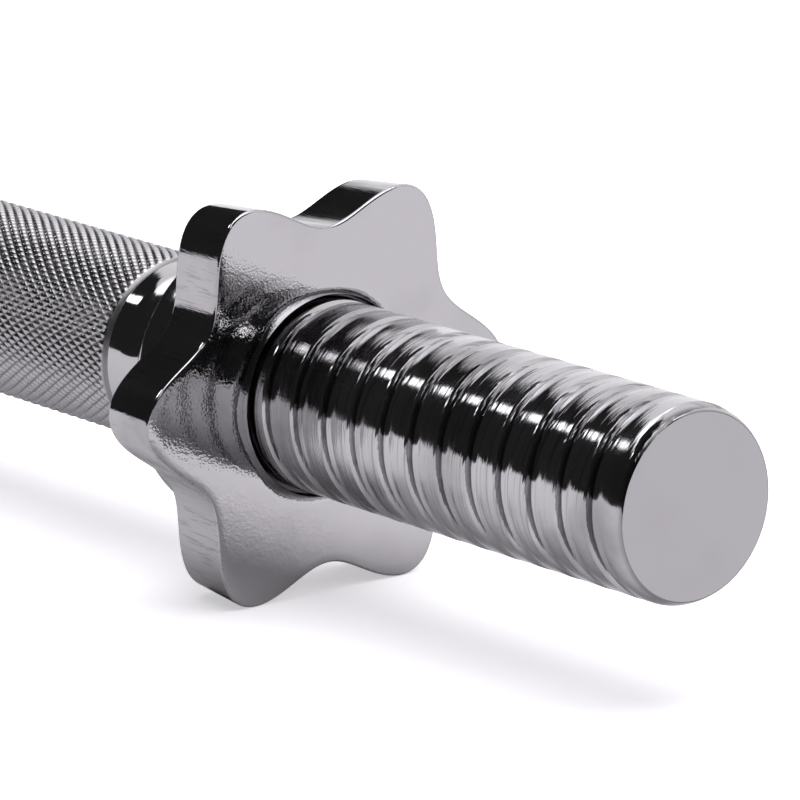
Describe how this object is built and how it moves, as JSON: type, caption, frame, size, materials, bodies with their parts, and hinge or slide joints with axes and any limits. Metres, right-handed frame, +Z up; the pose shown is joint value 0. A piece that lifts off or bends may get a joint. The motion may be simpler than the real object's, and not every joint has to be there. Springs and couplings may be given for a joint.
{
  "type": "adjustable dumbbell",
  "caption": "Chrome dumbbell handle: a threaded bar with a knurled grip, fixed inner collars and star-shaped screw nuts that clamp weight plates.",
  "frame": {"origin": "middle of the bar, on its axis", "axes": "+X along the bar, +Z up as it stands on two lobes of each nut"},
  "size_m": [0.305, 0.058, 0.0516],
  "materials": {
    "bar": "chrome plated steel, rolled thread and diamond knurl",
    "collar": "chrome plated steel, smooth turned",
    "pin": "plain spring steel",
    "rubber_ring": "matte black rubber",
    "star_nut": "chrome plated casting with a slight orange-peel surface"
  },
  "bodies": {
    "bar": {"bar": "bar", "right_collar": "collar", "right_collar_pin": "pin", "left_collar": "collar", "left_collar_pin": "pin"},
    "right_ring": {"right_rubber_ring": "rubber_ring"},
    "right_nut": {"right_star_nut": "star_nut"},
    "left_ring": {"left_rubber_ring": "rubber_ring"},
    "left_nut": {"left_star_nut": "star_nut"}
  },
  "joints": [
    {"name": "right_nut_travel", "type": "slide", "parent": "bar", "child": "right_ring", "axis": [1, 0, 0], "range_m": [0, 0.0848]},
    {"name": "right_nut_turn", "type": "hinge", "parent": "right_ring", "child": "right_nut", "pos_m": [0.0777, 0, 0], "axis": [1, 0, 0], "range_deg": [0, 5400]},
    {"name": "left_nut_travel", "type": "slide", "parent": "bar", "child": "left_ring", "axis": [-1, 0, 0], "range_m": [0, 0.0848]},
    {"name": "left_nut_turn", "type": "hinge", "parent": "left_ring", "child": "left_nut", "pos_m": [-0.0777, 0, 0], "axis": [-1, 0, 0], "range_deg": [0, 5400]}
  ],
  "couplings": [
    {"joint": "right_nut_travel", "follows": "right_nut_turn", "m_per_rad": 0.00089834},
    {"joint": "left_nut_travel", "follows": "left_nut_turn", "m_per_rad": 0.00089834}
  ]
}
